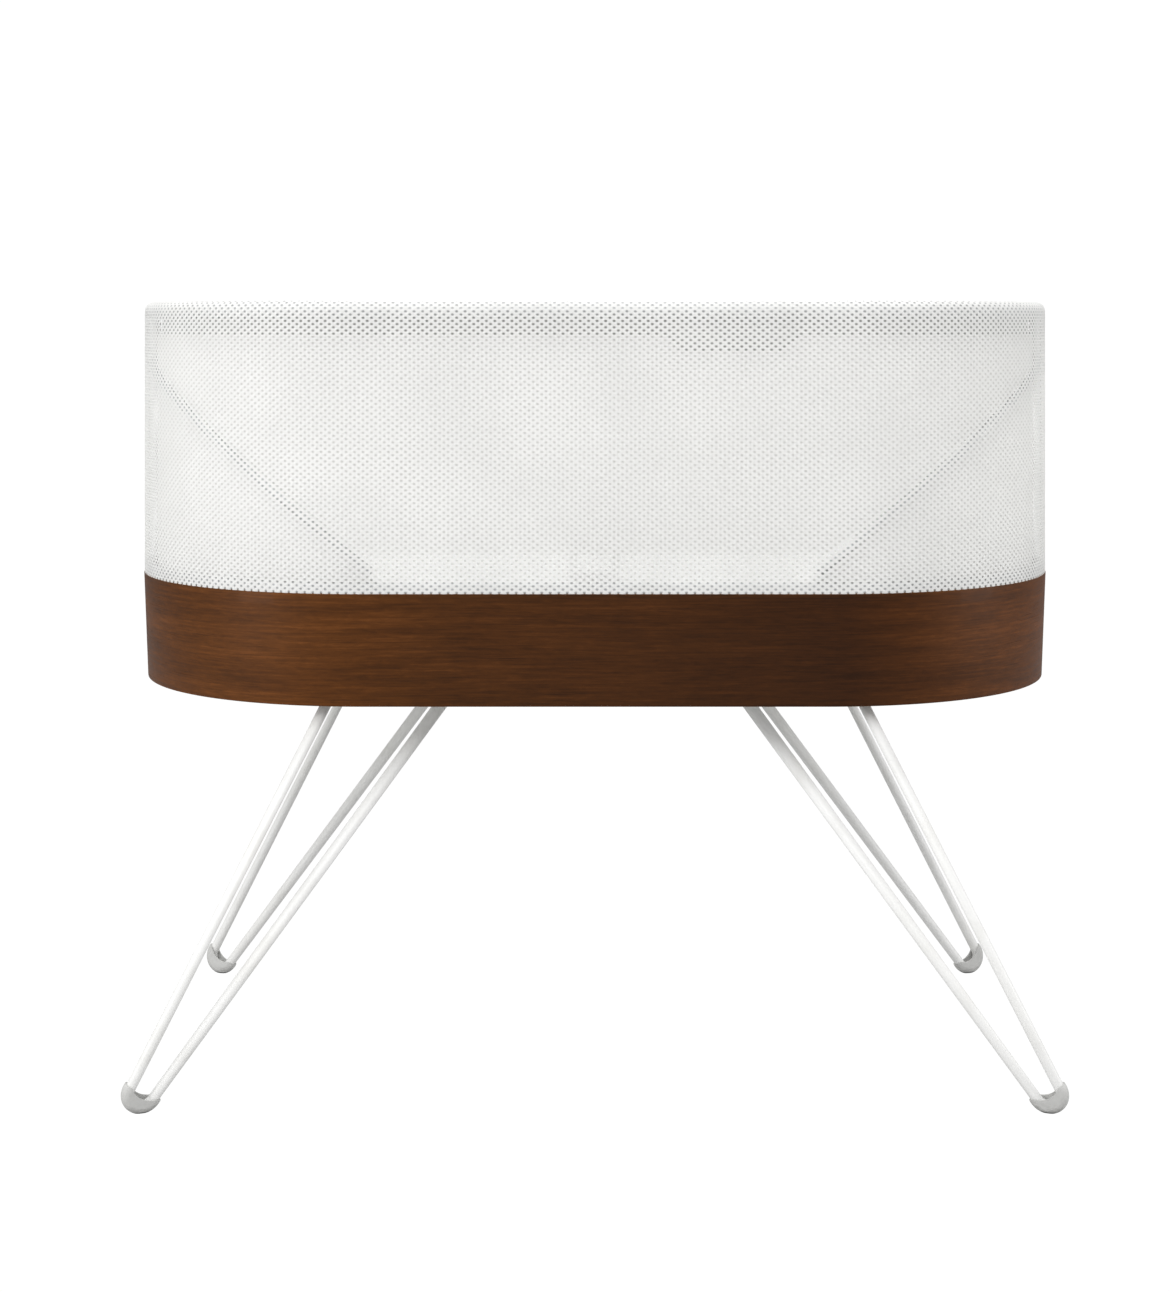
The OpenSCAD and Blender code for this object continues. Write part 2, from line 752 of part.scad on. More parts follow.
module deck_screws() {
    color(steel) for (a = deck_screw_angles) rotate([0, 0, a])
        screw([race_r, 0, deck_z + deck_t - 2.4], deck_t + 4);
}

module hub_cover() {
    color(white) {
        translate([0, 0, deck_z + deck_t - 1.5]) cylinder(h = 1.5, r = hub_r + 6 - 0.1);
        flat_ring(hub_r + 3, hub_r + 6 - 0.1, deck_z, deck_t - 1);
    }
}

module mattress() {
    color([0.95, 0.94, 0.9]) oval_plate(mattress_r, mattress_z, mattress_t);
}

module fitted_sheet() {
    color(white) difference() {
        oval_plate(mattress_r + gap + sheet_t, mattress_z + 2, mattress_t + gap + sheet_t - 2);
        oval_plate(mattress_r + gap, mattress_z - 1, mattress_t + gap + 1);
    }
}

clip_w = 46;
clip_h = 34;
clip_thick = 3.5;
// A flat hook beside the mattress that a sleep sack's wing slides over.
module sack_clip() {
    top_z = mattress_z + mattress_t + clip_h;
    color(white) translate([0, deck_r + 0.2, 0]) rotate([90, 0, 0]) mirror([0, 0, 1]) difference() {
        linear_extrude(clip_thick) difference() {
            union() {
                translate([-clip_w / 2, deck_z + 1]) square([clip_w, top_z - deck_z - 9]);
                translate([-clip_w / 2 + 8, top_z - 8 - eps]) square([clip_w - 16, 8]);
                for (x = [-1, 1]) translate([x * (clip_w / 2 - 8), top_z - 8]) circle(8);
            }
            translate([-clip_w / 2 + 7, mattress_z + mattress_t + 8]) square([clip_w - 14, clip_h - 16]);
        }
        for (x = [-1, 1]) translate([x * 14, deck_z + 6, -1]) cylinder(h = clip_thick + 2, r = 1.6);
    }
}

module sack_clip_front() { mirror([0, 1, 0]) sack_clip(); }
module sack_clip_rear() { sack_clip(); }

// ---- Electronics ----

module standoffs_at() {
    for (x = [-1, 1], y = [-1, 1])
        translate(board_pos + [x * (pcb.x / 2 - standoff_inset), y * (pcb.y / 2 - standoff_inset), 0])
            children();
}

module control_board() {
    color([0.1, 0.35, 0.2]) difference() {
        translate(board_pos + [-pcb.x / 2, -pcb.y / 2, standoff_h]) cube(pcb);
        standoffs_at() translate([0, 0, standoff_h - 1]) cylinder(h = 4, r = 1.6);
    }
}

module board_parts() {
    z = standoff_h + pcb.z;
    color([0.1, 0.1, 0.1]) translate(board_pos) {
        translate([-12, -12, z]) cube([24, 24, 2]);
        translate([18, -20, z]) cube([16, 12, 2]);
        translate([16, 10, z]) cube([22, 14, 3]);
        translate([-44, -12, z]) cube([9, 24, 8]);
        translate([-30, 28, z]) cube([26, 8, 9]);
        for (x = [8, 20, 32]) translate([x, -32, z]) cylinder(h = 12, r = 4.5);
    }
}

module board_standoffs() {
    color(steel) standoffs_at() {
        cylinder(h = standoff_h, r = 3);
        cylinder(h = standoff_h + pcb.z, r = 1.5);
        translate([0, 0, standoff_h + pcb.z]) cylinder(h = 2, r = 2.8);
    }
}

module motor_lead() {
    color([0.08, 0.08, 0.08]) swept_tube([for (p = lead_path) [p.x, p.y, floor_z + p.z]],
                                         [0.05, 0.08, 1], [for (p = lead_path) lead_r], 8);
}

module speaker_frames() {
    color([0.15, 0.15, 0.16]) for (side = [0, 180]) rotate([0, 0, side])
        translate([speaker_x, 0, 0]) rotate_extrude() {
            translate([0, floor_z]) square([20, 10]);
            polygon([[17, floor_z + 9], [20, floor_z + 9], [speaker_r - 6, floor_z + speaker_h - 2],
                     [speaker_r - 9, floor_z + speaker_h - 2]]);
            translate([speaker_r - 9, floor_z + speaker_h - 3]) square([9, 3]);
        }
}

module speaker_cones() {
    color([0.05, 0.05, 0.05]) for (side = [0, 180]) rotate([0, 0, side])
        translate([speaker_x, 0, floor_z]) rotate_extrude()
            polygon([[0, 11], [12, 11], [speaker_r - 10.5, speaker_h - 3.2],
                     [speaker_r - 10.5, speaker_h - 2], [12, 12.5], [0, 12.5]]);
}

// A round socket under the board that takes the plug of a low-voltage supply.
module power_inlet() {
    color([0.15, 0.15, 0.16]) difference() {
        union() {
            translate([inlet_pos.x, inlet_pos.y, board_z - 2]) cylinder(h = 2, r = inlet_r + 3);
            translate([inlet_pos.x, inlet_pos.y, board_z - 0.5])
                cylinder(h = inlet_h + 0.5, r = inlet_r * 0.5 - fit);
        }
        translate([inlet_pos.x, inlet_pos.y, board_z - 3]) cylinder(h = inlet_h, r = inlet_bore_r);
    }
}

// ---- Button ----

module button_axis(y) {
    translate([0, y, button_z]) rotate([-90, 0, 0]) children();
}

module button_bezel() {
    color([0.8, 0.8, 0.8]) button_axis(button_back_y) difference() {
        union() {
            cylinder(h = 2.4, r = bezel_flange);
            translate([0, 0, -bezel_l]) cylinder(h = bezel_l + eps, r = bezel_out);
        }
        translate([0, 0, -bezel_l - 1]) cylinder(h = bezel_l + 5, r = bezel_in);
    }
}

module light_ring() {
    color([0.8, 0.95, 1.0]) button_axis(button_face_y - 10) difference() {
        cylinder(h = 10.2, r = ring_r);
        translate([0, 0, -1]) cylinder(h = 13, r = button_r + gap);
    }
}

module control_button() {
    color(white) button_axis(button_face_y + button_proud - button_l) cylinder(h = button_l, r = button_r);
}

module button_switch() {
    color([0.1, 0.35, 0.2]) {
        button_axis(switch_y - 2.6) cylinder(h = 1.6, r = bezel_out);
        button_axis(switch_y - 1 - eps) cylinder(h = 1 + eps, r = 3);
    }
}

wood_band();
base_board();
band_brackets();
bracket_screws();
leg_front_left();
leg_front_right();
leg_rear_left();
leg_rear_right();
foot_front_left();
foot_front_right();
foot_rear_left();
foot_rear_right();
foot_soles();
leg_plates();
leg_screws();
wall_rail();
rim_tube();
hoop_left();
hoop_right();
hoop_sockets();
rim_posts();
mesh_wall();
inner_liner();
bearing_pedestal();
pedestal_screws();
lower_race();
bearing_balls();
ball_cage();
upper_race();
pivot_pin();
pivot_washer();
pivot_clip();
drive_wheel();
wheel_bush();
platform_deck();
deck_screws();
hub_cover();
mattress();
fitted_sheet();
sack_clip_front();
sack_clip_rear();
drive_motor();
motor_screws();
motor_shaft();
translate([-motor_x, 0, 0]) motor_pulley();
drive_belt();
idler_bracket();
idler_bolt();
idler_roller();
control_board();
board_parts();
board_standoffs();
motor_lead();
speaker_frames();
speaker_cones();
power_inlet();
button_bezel();
light_ring();
control_button();
button_switch();
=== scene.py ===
"""The looks of the oval baby crib: walnut band, knitted mesh wall, linings, pad and sheet, and a
finish for every piece of its frame and drive. Metres, +Z up, front towards -Y."""

import json
import math

import bmesh
import bpy
import numpy as np
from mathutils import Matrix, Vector, noise


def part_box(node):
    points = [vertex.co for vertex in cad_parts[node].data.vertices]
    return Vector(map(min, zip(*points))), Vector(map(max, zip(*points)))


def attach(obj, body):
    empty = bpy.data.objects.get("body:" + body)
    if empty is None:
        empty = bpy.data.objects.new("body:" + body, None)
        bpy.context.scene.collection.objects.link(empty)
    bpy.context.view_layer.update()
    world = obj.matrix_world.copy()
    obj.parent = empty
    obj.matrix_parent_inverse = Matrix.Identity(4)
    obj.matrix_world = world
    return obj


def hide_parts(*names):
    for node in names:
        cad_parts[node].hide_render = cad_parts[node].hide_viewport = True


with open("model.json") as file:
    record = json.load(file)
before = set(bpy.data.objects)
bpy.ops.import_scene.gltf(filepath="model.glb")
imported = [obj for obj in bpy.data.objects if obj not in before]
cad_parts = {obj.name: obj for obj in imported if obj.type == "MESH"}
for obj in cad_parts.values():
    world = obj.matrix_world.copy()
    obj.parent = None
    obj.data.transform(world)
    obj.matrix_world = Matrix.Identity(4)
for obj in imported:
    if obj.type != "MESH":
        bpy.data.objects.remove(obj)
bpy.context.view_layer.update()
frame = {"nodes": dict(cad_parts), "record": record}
nodes = frame["nodes"]

# ---- Sizes taken from the frame ----

MM = 0.001
wall_low, wall_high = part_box("mesh_wall")
rim_low, rim_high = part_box("rim_tube")
band_low, band_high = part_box("wood_band")
liner_low, liner_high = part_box("inner_liner")
hoop_low, hoop_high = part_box("hoop_right")
pad_low, pad_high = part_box("mattress")
bezel_low, bezel_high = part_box("button_bezel")

WALL_R = wall_high.y
RUN = wall_high.x - wall_high.y
ROUND = math.pi * WALL_R
LOOP = 4 * RUN + 2 * ROUND
QUARTER = RUN + ROUND / 2
RIM_R = (rim_high.z - rim_low.z) / 2
RIM_C = rim_high.y - RIM_R
RIM_Z = rim_low.z + RIM_R
HOOP_RISE = (hoop_high.z - hoop_low.z) / (hoop_high.x - hoop_low.x)

# The knit
HOLE_PITCH = 7.8 * MM
HOLE_ROW = 2.94 * MM
HOLE_HALF_W = 1.55 * MM
HOLE_HALF_H = 0.98 * MM
KNIT_RELIEF = 0.3 * MM
CLOTH_INSET = 0.7 * MM
TUCK = 2.0 * MM
HEM_DROP = 6 * MM
TAPE_OUTLINE = 16
TAPE_R = 1.0 * MM
TAPE_EDGE_R = 0.9 * MM
TAPE_OVER_HEM = 6 * MM
TAPE_UNDER_LINING = 1.5 * MM
SEAM_HALF_W = 2.6 * MM
SEAM_CROWN = 0.75 * MM
SEAM_SHORT = 8 * MM

# The band
ARRIS = 1.3 * MM
BAND_T = 9 * MM
BAND_TAPER = 4 * MM
PLY = 1.5 * MM
BEZEL_LIP = 3.4 * MM

# The linings
HOOP_GAP = 3.4 * MM
LINING_DROP = 2.5 * MM
NOTCH_DEPTH = 15 * MM
NOTCH_FROM = 0.082
NOTCH_TO = 0.172
NOTCH_RAMP = 0.024
LINING_INSET = 0.6 * MM
LINING_SLACK = 0.6 * MM
LINING_FLOOR = 5 * MM
HEM_DEPTH = 5 * MM
HEM_TURN = 0.35 * MM

# The bedding
PAD_EDGE = 11 * MM
PAD_VOXEL = 6 * MM
PAD_SWELL = 5 * MM
PAD_CROWN = 3 * MM
SHEET_TUCK = 26 * MM
SHEET_SIDE = 16 * MM
SHEET_LIFT = 0.9 * MM

# The studio
EYE_AT = (0, -2.359, 0.732)
EYE_LENS = 64.2
EYE_SHIFT = (-0.0077, -0.252)
ROOM_GLOW = 0.54
BACKDROP_GLOW = 1.05
FLOOR_GLOW = 1.03
FLOOR_R = 60


# ---- The oval ----


def station(along):
    """The centre line's x and the outward direction at a length along the wall from the front middle."""
    far = np.abs(along)
    side = np.where(along < 0, -1.0, 1.0)
    turn = np.clip((far - RUN) / WALL_R, 0, math.pi)
    back = np.clip(far - RUN - ROUND, 0, RUN)
    return side * (np.minimum(far, RUN) - back), side * np.sin(turn), -np.cos(turn)


def on_oval(along, out, up):
    """Points at a distance out from the centre line and a height up."""
    x, nx, ny = station(along)
    return np.stack([x + nx * out, ny * out, up + 0 * along], axis=-1)


def stops(start, end, straight=0.02, bend=0.008):
    """Lengths along the wall from start to end, close together on the round ends."""
    marks = [start, end]
    for low, high, step in (
        (-LOOP / 2, -RUN - ROUND, straight),
        (-RUN - ROUND, -RUN, bend),
        (-RUN, RUN, straight),
        (RUN, RUN + ROUND, bend),
        (RUN + ROUND, LOOP / 2, straight),
    ):
        low, high = max(low, start), min(high, end)
        if high > low:
            marks += list(np.linspace(low, high, max(2, round((high - low) / step) + 1)))
    marks = np.unique(np.round(marks, 7))
    return marks


def piece(name, points, faces, lay=None, smooth=True):
    """A new object. lay holds a pair of lengths for each corner of each face, for the finish."""
    mesh = bpy.data.meshes.new(name)
    mesh.from_pydata(np.asarray(points).reshape(-1, 3).tolist(), [], faces)
    if lay is not None:
        layer = mesh.uv_layers.new(name="lay")
        layer.data.foreach_set("uv", np.asarray(lay, np.float32).ravel())
    mesh.shade_smooth() if smooth else mesh.shade_flat()
    mesh.validate()
    made = bpy.data.objects.new(name, mesh)
    bpy.context.scene.collection.objects.link(made)
    return made


def loft(name, along, rows, ring=False, loop=False):
    """A skin through rows of (out, up), each a number or one per stop along the wall.
    A ring closes the rows on themselves, and a loop closes the wall's two ends."""
    count, high = len(along), len(rows)
    points = np.stack([on_oval(along, *row) for row in rows], axis=1)
    steps = np.linalg.norm(np.diff(points, axis=1, append=points[:, :1]), axis=2)
    reach = np.concatenate([np.zeros((count, 1)), np.cumsum(steps, axis=1)], axis=1)
    columns = count - 1 if loop else count
    points = points[:columns]
    faces, lay = [], []
    for i in range(count - 1):
        for k in range(high if ring else high - 1):
            n, m = (i + 1) % columns, (k + 1) % high
            faces.append((i * high + k, n * high + k, n * high + m, i * high + m))
            lay += [
                (along[i], reach[i, k]),
                (along[i + 1], reach[i + 1, k]),
                (along[i + 1], reach[i + 1, k + 1]),
                (along[i], reach[i, k + 1]),
            ]
    if ring and not loop:
        faces.append(tuple(range(high - 1, -1, -1)))
        faces.append(tuple((columns - 1) * high + k for k in range(high)))
        lay += [(0, 0)] * (2 * high)
    return piece(name, points, faces, lay)


def rounded(corners, radius, steps=4):
    """A closed outline of (out, up) with each corner rounded."""
    outline = []
    for i, corner in enumerate(corners):
        here = Vector(corner)
        before = (Vector(corners[i - 1]) - here).normalized() * radius
        after = (Vector(corners[(i + 1) % len(corners)]) - here).normalized() * radius
        for k in range(steps + 1):
            t = k / steps
            outline.append(tuple(here + before * (1 - t) ** 2 + after * t**2))
    return outline


def sharpen(made, angle=35):
    """Smooth shading, with a crease where two faces meet at more than the angle."""
    made.data.shade_smooth()
    made.data.set_sharp_from_angle(angle=math.radians(angle))
    return made


def settle(made):
    """Applies the modifiers of a piece."""
    graph = bpy.context.evaluated_depsgraph_get()
    mesh = bpy.data.meshes.new_from_object(made.evaluated_get(graph))
    made.modifiers.clear()
    made.data = mesh
    return made


# ---- Finishes ----

FINE_RELIEF = 0.02 * MM


def linear(red, green, blue):
    """A colour read off a sample card, 0 to 255, as the shader wants it."""
    shares = [c / 255 for c in (red, green, blue)]
    return tuple(c / 12.92 if c <= 0.04045 else ((c + 0.055) / 1.055) ** 2.4 for c in shares) + (1,)


class Value:
    """What a node gives. Sums on numbers add Math nodes."""

    def __init__(self, finish, socket):
        self.finish, self.socket = finish, socket

    def sum(self, operation, *terms, clamp=False):
        return self.finish.node("Math", terms, operation=operation, use_clamp=clamp)

    def __add__(self, other):
        return self.sum("ADD", self, other)

    def __sub__(self, other):
        return self.sum("SUBTRACT", self, other)

    def __rsub__(self, other):
        return self.sum("SUBTRACT", other, self)

    def __mul__(self, other):
        return self.sum("MULTIPLY", self, other)

    def __truediv__(self, other):
        return self.sum("DIVIDE", self, other)

    def __pow__(self, other):
        return self.sum("POWER", self, other)

    def __gt__(self, other):
        return self.sum("GREATER_THAN", self, other)

    def __lt__(self, other):
        return self.sum("LESS_THAN", self, other)

    __radd__, __rmul__ = __add__, __mul__

    def size(self):
        return self.sum("ABSOLUTE", self)

    def sine(self):
        return self.sum("SINE", self)

    def part(self):
        return self.sum("FRACT", self)

    def least(self, other):
        return self.sum("MINIMUM", self, other)

    def most(self, other):
        return self.sum("MAXIMUM", self, other)

    def between(self, low, high):
        """0 at low, 1 at high, and smooth from one to the other."""
        return self.finish.node("MapRange", [self, low, high], interpolation_type="SMOOTHSTEP")


class Finish:
    """A material round one Principled shader."""

    def __init__(self, name, **sockets):
        self.material = bpy.data.materials.new(name)
        self.material.use_nodes = True
        self.tree = self.material.node_tree
        self.tree.nodes.clear()
        self.out = self.tree.nodes.new("ShaderNodeOutputMaterial")
        self.shader = self.tree.nodes.new("ShaderNodeBsdfPrincipled")
        self.tree.links.new(self.shader.outputs[0], self.out.inputs[0])
        self.set(**sockets)

    def node(self, kind, inputs=(), output=0, **settings):
        made = self.tree.nodes.new("ShaderNode" + kind)
        for key, value in settings.items():
            setattr(made, key, value)
        for key, value in inputs.items() if isinstance(inputs, dict) else enumerate(inputs):
            if isinstance(value, Value):
                self.tree.links.new(value.socket, made.inputs[key])
            elif value is not None:
                made.inputs[key].default_value = value
        return Value(self, made.outputs[output])

    def set(self, **sockets):
        """Base_Color sets the shader's Base Color, and so on."""
        for key, value in sockets.items():
            socket = self.shader.inputs[key.replace("_", " ")]
            if isinstance(value, Value):
                self.tree.links.new(value.socket, socket)
            else:
                socket.default_value = value
        return self

    def place(self):
        """The point on the piece, in metres."""
        return self.node("TexCoord", output="Object")

    def lay(self):
        """The point on the cloth or veneer laid flat, in metres."""
        return self.node("UVMap", uv_map="lay")

    def stretched(self, vector, x, y, z=1):
        return self.node("VectorMath", [vector, (x, y, z)], operation="MULTIPLY")

    def axes(self, vector):
        apart = self.node("SeparateXYZ", [vector]).socket.node
        return [Value(self, socket) for socket in apart.outputs]

    def joined(self, x, y, z=0.0):
        return self.node("CombineXYZ", [x, y, z])

    def far(self, vector):
        return self.node("VectorMath", [vector], output="Value", operation="LENGTH")

    def dulled(self, share, colour, by):
        """The colour, and where the share is high the colour times another."""
        return self.blend(share, colour, self.blend(1.0, colour, by, "MULTIPLY"))

    def grain(self, vector, scale=1.0, detail=3.0, rough=0.5, bend=0.0):
        inputs = {"Vector": vector, "Scale": scale, "Detail": detail}
        return self.node("TexNoise", {**inputs, "Roughness": rough, "Distortion": bend})

    def cells(self, vector, scale, feature="F1", output="Distance"):
        return self.node("TexVoronoi", {"Vector": vector, "Scale": scale}, output=output, feature=feature)

    def blend(self, share, first, second, how="MIX"):
        inputs = {0: share, 6: first, 7: second}
        return self.node("Mix", inputs, output=2, data_type="RGBA", blend_type=how)

    def ramp(self, value, *marks):
        """A colour ramp through (place, colour) marks."""
        made = self.node("ValToRGB", [value])
        stops_on = made.socket.node.color_ramp.elements
        while len(stops_on) < len(marks):
            stops_on.new(0.5)
        for stop, (at, colour) in zip(stops_on, marks):
            stop.position, stop.color = at, colour
        return made

    def bump(self, height, depth, strength=1.0, under=None):
        inputs = {"Height": height, "Distance": depth, "Strength": strength, "Normal": under}
        return self.node("Bump", inputs)

    def lets_through(self, share, colour):
        """Lets a share of the light through the cloth."""
        glow = self.node("BsdfTranslucent", [colour, self.normal()], output=0)
        mixed = self.node("MixShader", [share, Value(self, self.shader.outputs[0]), glow])
        self.tree.links.new(mixed.socket, self.out.inputs[0])
        return self

    def normal(self):
        links = self.shader.inputs["Normal"].links
        return Value(self, links[0].from_socket) if links else None


def walnut(name):
    """Satin veneer with its grain along the band, on bent ply whose layers show at the edges."""
    f = Finish(name, Specular_IOR_Level=0.12)
    along, up, _ = f.axes(f.lay())
    x, y, _ = f.axes(f.place())
    drift = f.grain(f.joined(along * 1.3, up * 7.0), detail=2.0) - 0.5
    rise = up + drift * 0.022
    figure = f.grain(f.joined(along * 3.4, rise * 46.0), detail=6.0, rough=0.62, bend=0.5)
    streaks = f.grain(f.joined(along * 14.0, rise * 420.0), detail=4.0, rough=0.65)
    threads = f.grain(f.joined(along * 20.0, up * 1500.0), detail=2.0)
    curl = f.grain(f.joined(along * 60.0, rise * 260.0, 4.0), detail=4.0, rough=0.7, bend=0.5)
    body = f.ramp(
        figure * 0.42 + streaks * 0.34 + curl * 0.24,
        (0.30, linear(55, 29, 6)),
        (0.43, linear(71, 38, 8)),
        (0.53, linear(87, 48, 13)),
        (0.68, linear(114, 66, 26)),
    )
    # Tone along the band's length, from the object's x: partly the veneer's own tone drift and partly
    # painted light. Painted highlights make both round ends paler, and painted shade makes the stretch
    # right of the middle darker.
    tone_and_painted_light = f.ramp(
        x / (RUN + WALL_R) * 0.5 + 0.5,
        (0.0, linear(236, 236, 236)),
        (0.17, linear(255, 255, 255)),
        (0.36, linear(208, 208, 208)),
        (0.76, linear(166, 162, 160)),
        (0.86, linear(228, 224, 220)),
        (1.0, linear(255, 250, 246)),
    )
    body = f.blend(1.0, body, tone_and_painted_light, "MULTIPLY")
    patches = f.grain(f.joined(along * 9.0, up * 60.0, 2.0))
    pores = threads.between(0.58, 0.70) * patches.between(0.42, 0.6)
    body = f.blend(pores * 0.5, body, linear(26, 12, 4))
    flat = f.node("NewGeometry", output="Normal")
    edge = f.axes(flat)[2].size().between(0.55, 0.85)
    middle = f.far(f.joined((x.size() - RUN).most(0.0), y))
    layers = (middle * (math.tau / PLY)).sine() * 0.5 + 0.5
    ply = f.blend(layers.between(0.3, 0.7), linear(96, 66, 38), linear(132, 98, 62))
    fibres = f.grain(f.joined(along * 60.0, middle * 900.0)).between(0.35, 0.75)
    ply = f.blend(fibres * 0.5, ply, linear(78, 50, 28))
    f.set(
        Base_Color=f.blend(edge, body, ply),
        Roughness=0.46 + (streaks - 0.5) * 0.2 + pores * 0.2,
        Coat_Weight=0.02,
        Normal=f.bump(threads * 0.5 + streaks - pores * 0.8, 0.00010, 0.5),
    )
    return f


def knit(name):
    """Open-work knit: brushed yarn bars between the holes, twisted along each bar."""
    f = Finish(name, Roughness=0.82, Specular_IOR_Level=0.25, Sheen_Weight=0.25, Sheen_Roughness=0.5)
    place = f.place()
    along, up, _ = f.axes(f.lay())
    column = along * (math.tau / HOLE_PITCH)
    row = up * (math.pi / HOLE_ROW)
    bars = column.sine() * row.sine()
    twist = (column * 6.0 + row * 5.0).sine() * (column * 6.0 - row * 5.0).sine()
    fuzz = f.grain(place, 2600.0, 3.0, 0.7)
    cloudy = f.grain(place, 9.0, 2.0)
    shade = f.blend(cloudy.between(0.3, 0.7), linear(243, 243, 242), linear(250, 250, 249))
    thin = f.blend(1.0, shade, linear(228, 228, 226), "MULTIPLY")
    shade = f.blend(fuzz.between(0.30, 0.62), thin, shade)
    f.set(Base_Color=shade, Normal=f.bump(bars * 0.5 + twist * 0.16 + fuzz * 0.5, 0.00045, 0.6))
    return f.lets_through(0.30, linear(250, 250, 248))


def woven(name, light, shadow, threads=0.55 * MM, through=0.25, depth=0.00012):
    """Plain weave: threads over and under each other in both directions, with slubs."""
    f = Finish(name, Roughness=0.86, Specular_IOR_Level=0.2, Sheen_Weight=0.3, Sheen_Roughness=0.45)
    place = f.place()
    x, y, z = f.axes(place)
    warp = ((x + y * 0.35) * (math.tau / threads)).sine()
    weft = ((z + y * 0.8) * (math.tau / threads)).sine()
    weave = warp * weft
    slub = f.grain(f.stretched(place, 60.0, 60.0, 900.0), 1.0, 3.0, 0.6)
    cloudy = f.grain(place, 7.0, 3.0)
    shade = f.blend(cloudy.between(0.3, 0.75) * 0.7 + slub.between(0.4, 0.8) * 0.3, shadow, light)
    gaps = f.blend(1.0, shade, linear(222, 222, 220), "MULTIPLY")
    shade = f.blend(weave.between(-1.0, 0.2) * 0.5 + 0.5, gaps, shade)
    f.set(Base_Color=shade, Normal=f.bump(weave * 0.6 + slub * 0.5, depth, 0.5))
    return f.lets_through(through, light) if through else f


def quilted(name):
    """Knitted ticking over foam, sewn in diamonds."""
    f = woven(name, linear(240, 238, 232), linear(228, 225, 218), 0.8 * MM, through=0)
    x, y, _ = f.axes(f.place())
    diamond = 50 * MM
    first = ((x + y) * (math.pi / diamond)).sine().size()
    second = ((x - y) * (math.pi / diamond)).sine().size()
    puff = first.least(second) ** 0.5
    f.set(Normal=f.bump(puff, 0.004, 0.8, f.normal()))
    return f


def painted(name, colour, rough=0.42, peel=0.25):
    """Powder coat: a faint orange peel, and a little dulling where hands rub it."""
    f = Finish(name, Specular_IOR_Level=0.5)
    place = f.place()
    pebble = f.grain(place, 700.0, 1.0)
    rubbed = f.grain(place, 22.0, 4.0, 0.6)
    dust = f.grain(place, 5.0, 2.0)
    body = f.dulled(rubbed.between(0.45, 0.75) * 0.5, colour, linear(238, 237, 234))
    f.set(
        Base_Color=f.blend(dust.between(0.4, 0.8) * 0.3, body, linear(226, 225, 220)),
        Roughness=rough + (rubbed - 0.5) * 0.16,
        Normal=f.bump(pebble, FINE_RELIEF, peel),
    )
    return f


def moulded(name, colour, rough=0.5, texture=0.4, worn=None):
    """Moulded plastic or rubber with a fine spark-eroded texture, paler or darker where it wears."""
    f = Finish(name, Specular_IOR_Level=0.45)
    place = f.place()
    pits = f.grain(place, 1500.0, 1.0, 0.65)
    flow = f.grain(place, 14.0, 4.0, 0.6, 0.5)
    worn = worn or f.blend(1.0, colour, linear(232, 232, 232), "MULTIPLY")
    f.set(
        Base_Color=f.blend(flow.between(0.4, 0.75) * 0.5, colour, worn),
        Roughness=rough + (pits - 0.5) * 0.2 + (flow - 0.5) * 0.12,
        Normal=f.bump(pits, FINE_RELIEF, texture),
    )
    return f


def metal(name, colour, rough=0.3, brushed=(1.0, 1.0, 1.0), spangle=0.0):
    """Bare metal with fine scratches, and the crystals of a zinc bath where it has them."""
    f = Finish(name, Metallic=1.0)
    place = f.place()
    scratches = f.grain(f.stretched(place, *brushed), 900.0, 3.0, 0.6)
    stain = f.grain(place, 26.0, 4.0, 0.6)
    body = f.dulled(stain.between(0.45, 0.8) * 0.4, colour, linear(214, 210, 204))
    if spangle:
        crystal = f.axes(f.cells(place, 260.0, output="Color"))[0]
        body = f.blend(crystal * spangle, body, linear(236, 239, 244))
    f.set(
        Base_Color=body,
        Roughness=rough + (scratches - 0.5) * 0.24 + (stain - 0.5) * 0.1,
        Normal=f.bump(scratches, 0.00003, 0.35),
    )
    return f


def circuit(name):
    """Green solder mask with copper runs under it and rows of solder pads."""
    f = moulded(name, linear(28, 104, 62), 0.3, 0.15)
    place = f.place()
    x, y, _ = f.axes(place)
    board = f.stretched(place, 1.0, 0.35, 0.0)
    lane = f.cells(board, 190.0, "F2") - f.cells(board, 190.0)
    pad_x = (x * 390.0).part() - 0.5
    pad_y = (y * 390.0).part() - 0.5
    pads = f.far(f.joined(pad_x, pad_y)) < 0.22
    pads = pads * (f.grain(place, 45.0) > 0.58)
    green = f.blend(lane.between(0.0, 0.12), linear(58, 140, 84), linear(24, 92, 54))
    f.set(Base_Color=f.blend(pads, green, linear(205, 205, 200)), Metallic=pads * 0.8)
    return f


def diffuser(name):
    """Frosted ring that a lamp lights evenly."""
    f = moulded(name, linear(226, 238, 243), 0.35, 0.15)
    glow = f.grain(f.place(), 40.0, 2.0)
    lit = f.blend(glow, linear(196, 226, 240), linear(214, 236, 246))
    f.set(Emission_Color=lit, Emission_Strength=0.25)
    return f


def cup_grey(name):
    """Soft-touch grey, scuffed darker towards the floor."""
    f = moulded(name, linear(188, 188, 186), 0.62, 0.5, linear(172, 172, 170))
    scuffs = f.grain(f.stretched(f.place(), 90.0, 90.0, 500.0), 1.0, 4.0, 0.7)
    low = 1 - f.axes(f.place())[2].between(0.001, 0.012)
    body = Value(f, f.shader.inputs["Base Color"].links[0].from_socket)
    f.set(Base_Color=f.blend(low * scuffs.between(0.42, 0.66) * 0.6, body, linear(112, 111, 108)))
    return f


